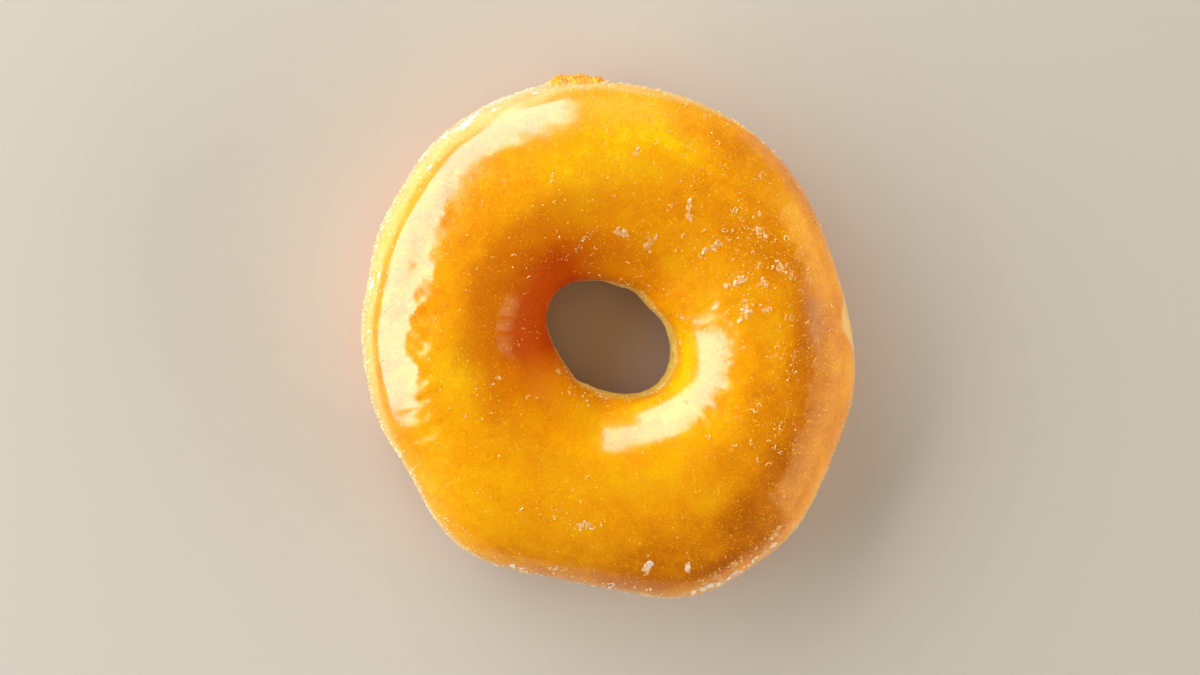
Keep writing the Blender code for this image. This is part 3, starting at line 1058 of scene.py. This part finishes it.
def dabs_where(direction, turn, places):
    return 1.2 * patch(direction, turn, DAB_SPOTS) - 0.2


def fuzz_where(direction, turn, places):
    """A fuzz of dry crumbs on the belt, on the flank and round the hole."""
    outside = hump(turn, 3, 17) * (1 + 0.8 * hump(direction, 133, 40) - 0.7 * hump(direction, 45, 35))
    in_hole = hump(turn, 176, 16) * (0.8 - 0.7 * hump(direction, 155, 45) + 0.8 * hump(direction, 238, 26))
    return (outside + in_hole) * (0.25 + step(lumps(places, 3 * MM, 1.1), -0.3, 0.6))


ICING_WHITE = (0.95, 0.90, 0.76, 1)
ICING_CREAM = (0.93, 0.74, 0.36, 1)
CRUMB_PALE = (0.95, 0.78, 0.42, 1)
CRUMB_AMBER = (0.90, 0.50, 0.10, 1)

strew(
    "icing_dabs", strewn_crystals, dabs_where, dry_sugar("set_icing", ICING_WHITE, ICING_CREAM, 0.3),
    smooth=True, Per_square_metre=6.0e6, Narrowest=0.3 * MM, Widest=1.4 * MM, Mostly_narrow=1.3,
    Flatness=0.35, Lean=0.3, Sink=0.05 * MM, Crumple=0.12 * MM, Fineness=2, Seed=53,
)
strew(
    "belt_crumbs", strewn_crystals, fuzz_where, dry_sugar("dry_crumbs", CRUMB_PALE, CRUMB_AMBER, 0.6),
    Per_square_metre=5.0e6, Narrowest=0.08 * MM, Widest=0.55 * MM, Mostly_narrow=3.5, Flatness=0.8,
    Lean=1.0, Sink=0.02 * MM, Crumple=0.14 * MM, Fineness=1, Seed=41,
)

# ----------------------------------------------------------------------
# The floor, the lights and the camera. A plain pale table, a large soft box to the upper left, a fill
# from the right, and a camera that looks down on the crown.

FLOOR_COLOUR = (0.60, 0.56, 0.49, 1)
FLOOR_CLOUD = (0.7, 0.7, 0.7, 1)
FLOOR_HALF_WIDTH = 1.5


def make_floor():
    mesh = bpy.data.meshes.new("floor")
    shape = bmesh.new()
    bmesh.ops.create_grid(shape, x_segments=2, y_segments=2, size=FLOOR_HALF_WIDTH)
    shape.to_mesh(mesh)
    shape.free()
    material, tree, surface, where = new_material("pale_table")
    tone = calculate(tree, "MULTIPLY", grain(tree, where, 40 * MM), 0.04)
    colour = blend_colours(tree, tone, FLOOR_COLOUR, FLOOR_CLOUD)
    set_inputs(surface, (("Base Color", colour), ("Roughness", 0.7), ("Specular IOR Level", 0.0)))
    mesh.materials.append(material)
    into_scene("floor", mesh)


make_floor()

LOOK_AT = Vector((0, 0, 14 * MM))
CAMERA_DISTANCE = 0.630
CAMERA_TILT = 10.0
CAMERA_DIRECTION = 155.0
CAMERA_LENS = 101.9
CAMERA_SLIDE = -2.0 * MM


def towards(direction, height):
    """The unit vector at this direction round the ring and this height above the horizon, in degrees."""
    angle, rise = math.radians(direction), math.radians(height)
    return Vector((math.cos(angle) * math.cos(rise), math.sin(angle) * math.cos(rise), math.sin(rise)))


def add_soft_box(name, place, facing, width, height, brightness, colour):
    light = bpy.data.lights.new(name, "AREA")
    light.shape = "RECTANGLE"
    light.size = width
    light.size_y = height
    light.energy = brightness * math.pi * width * height
    light.color = colour
    box = into_scene(name, light)
    box.location = place
    box.rotation_euler = facing.to_track_quat("Z", "Y").to_euler()
    return box


def add_lamp(name, direction, rise, distance, width, depth, brightness, colour):
    """A soft box that lights the doughnut, and doesn't show in its gloss."""
    facing = towards(direction, rise)
    lamp = add_soft_box(name, LOOK_AT + facing * distance, facing, width, depth, brightness, colour)
    lamp.visible_glossy = False


def add_card(name, first, last, distance, low, high, brightness, colour):
    """An upright bright card that only shows in the gloss, between two directions and two elevations."""
    facing = towards((first + last) / 2, 0)
    width = 2 * distance * math.tan(math.radians(last - first) / 2)
    foot = distance * math.tan(math.radians(low))
    height = distance * math.tan(math.radians(high)) - foot
    place = facing * distance + Vector((0, 0, LOOK_AT.z + foot + height / 2))
    card = add_soft_box(name, place, facing, width, height, brightness, colour)
    card.visible_diffuse = False
    card.visible_transmission = False


KEY_WHITE = (1.0, 0.99, 0.97)
KEY_CARD_WHITE = (1.0, 0.85, 1.0)
FILL_WHITE = (1.0, 0.92, 0.87)
FILL_CREAM = (1.0, 0.90, 0.45)
# Lamps: direction, rise, distance, width, depth, brightness. Cards: first and last direction, distance, low
# and high elevation, brightness. Each brink softens the top edge of the card below it.
add_lamp("key_light", 154, 27, 0.75, 1.80, 0.60, 4.0, KEY_WHITE)
add_card("near_key_card", 132, 211, 0.72, -1, 43, 10.8, KEY_CARD_WHITE)
add_card("near_key_brink", 132, 211, 0.72, 43, 50, 3.2, KEY_WHITE)
add_card("far_key_card", 66, 132, 0.72, -1, 34, 10.8, KEY_CARD_WHITE)
add_card("far_key_brink", 66, 132, 0.72, 34, 39, 4.2, KEY_WHITE)
add_lamp("fill_light", -14, 15, 1.00, 1.20, 0.46, 5.0, FILL_WHITE)
add_card("fill_card", -38, 31, 1.00, -1, 39, 1.8, FILL_CREAM)

camera = into_scene("camera", bpy.data.cameras.new("camera"))
camera.data.lens = CAMERA_LENS
camera.data.sensor_width = 36.0
camera.data.clip_start = 0.01
back = towards(CAMERA_DIRECTION, 90 - CAMERA_TILT)
right = Vector((0, 1, 0)).cross(back).normalized()
up = back.cross(right)
camera.matrix_world = Matrix((right, up, back)).transposed().to_4x4()
camera.location = LOOK_AT + back * CAMERA_DISTANCE + right * CAMERA_SLIDE
bpy.context.scene.camera = camera

world = bpy.data.worlds.new("studio")
world.use_nodes = True
set_inputs(world.node_tree.nodes["Background"], (("Color", (1.0, 0.96, 0.90, 1)), ("Strength", 0.31)))
world.cycles_visibility.glossy = False
bpy.context.scene.world = world
bpy.context.scene.view_settings.view_transform = "Standard"
